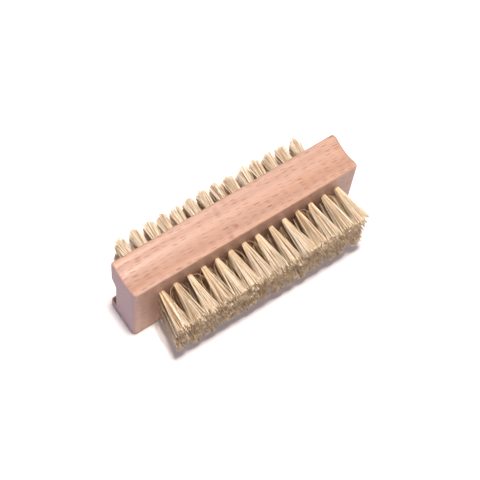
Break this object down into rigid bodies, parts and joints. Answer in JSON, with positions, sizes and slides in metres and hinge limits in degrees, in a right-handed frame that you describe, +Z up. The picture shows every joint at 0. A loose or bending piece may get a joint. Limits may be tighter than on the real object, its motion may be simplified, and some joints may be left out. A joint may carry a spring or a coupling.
{
  "type": "wooden nail brush",
  "caption": "Double-sided nail brush: a grooved beech stock with rows of plant-fibre tufts standing out of its front face and out of a channel in its back.",
  "frame": {"origin": "centre of the flat long side that the brush lies on", "axes": "+X along the stock, -Y out of the main bristle face, +Y out of the channelled back, +Z up from the side that it lies on"},
  "size_m": [0.0962, 0.0447, 0.0383],
  "materials": {
    "beech": "sanded and waxed to a satin, with fine dark flecks along the grain",
    "plant_fibre": "straw-coloured plant fibre, matt, trimmed flat at the tips",
    "anchor_wire": "bright galvanised flat wire"
  },
  "bodies": {
    "root": {"wooden_stock": "beech", "front_tufts_column_01": "plant_fibre", "front_tufts_column_02": "plant_fibre", "front_tufts_column_03": "plant_fibre", "front_tufts_column_04": "plant_fibre", "front_tufts_column_05": "plant_fibre", "front_tufts_column_06": "plant_fibre", "front_tufts_column_07": "plant_fibre", "front_tufts_column_08": "plant_fibre", "front_tufts_column_09": "plant_fibre", "front_tufts_column_10": "plant_fibre", "front_tufts_column_11": "plant_fibre", "front_tufts_column_12": "plant_fibre", "front_tufts_column_13": "plant_fibre", "front_tufts_column_14": "plant_fibre", "front_anchor_01": "anchor_wire", "front_anchor_02": "anchor_wire", "front_anchor_03": "anchor_wire", "front_anchor_04": "anchor_wire", "front_anchor_05": "anchor_wire", "front_anchor_06": "anchor_wire", "front_anchor_07": "anchor_wire", "front_anchor_08": "anchor_wire", "front_anchor_09": "anchor_wire", "front_anchor_10": "anchor_wire", "front_anchor_11": "anchor_wire", "front_anchor_12": "anchor_wire", "front_anchor_13": "anchor_wire", "front_anchor_14": "anchor_wire", "back_tufts_column_01": "plant_fibre", "back_tufts_column_02": "plant_fibre", "back_tufts_column_03": "plant_fibre", "back_tufts_column_04": "plant_fibre", "back_tufts_column_05": "plant_fibre", "back_tufts_column_06": "plant_fibre", "back_tufts_column_07": "plant_fibre", "back_tufts_column_08": "plant_fibre", "back_tufts_column_09": "plant_fibre", "back_tufts_column_10": "plant_fibre", "back_tufts_column_11": "plant_fibre", "back_tufts_column_12": "plant_fibre", "back_tufts_column_13": "plant_fibre", "back_tufts_column_14": "plant_fibre", "back_anchor_01": "anchor_wire", "back_anchor_02": "anchor_wire", "back_anchor_03": "anchor_wire", "back_anchor_04": "anchor_wire", "back_anchor_05": "anchor_wire", "back_anchor_06": "anchor_wire", "back_anchor_07": "anchor_wire", "back_anchor_08": "anchor_wire", "back_anchor_09": "anchor_wire", "back_anchor_10": "anchor_wire", "back_anchor_11": "anchor_wire", "back_anchor_12": "anchor_wire", "back_anchor_13": "anchor_wire", "back_anchor_14": "anchor_wire"}
  },
  "joints": []
}
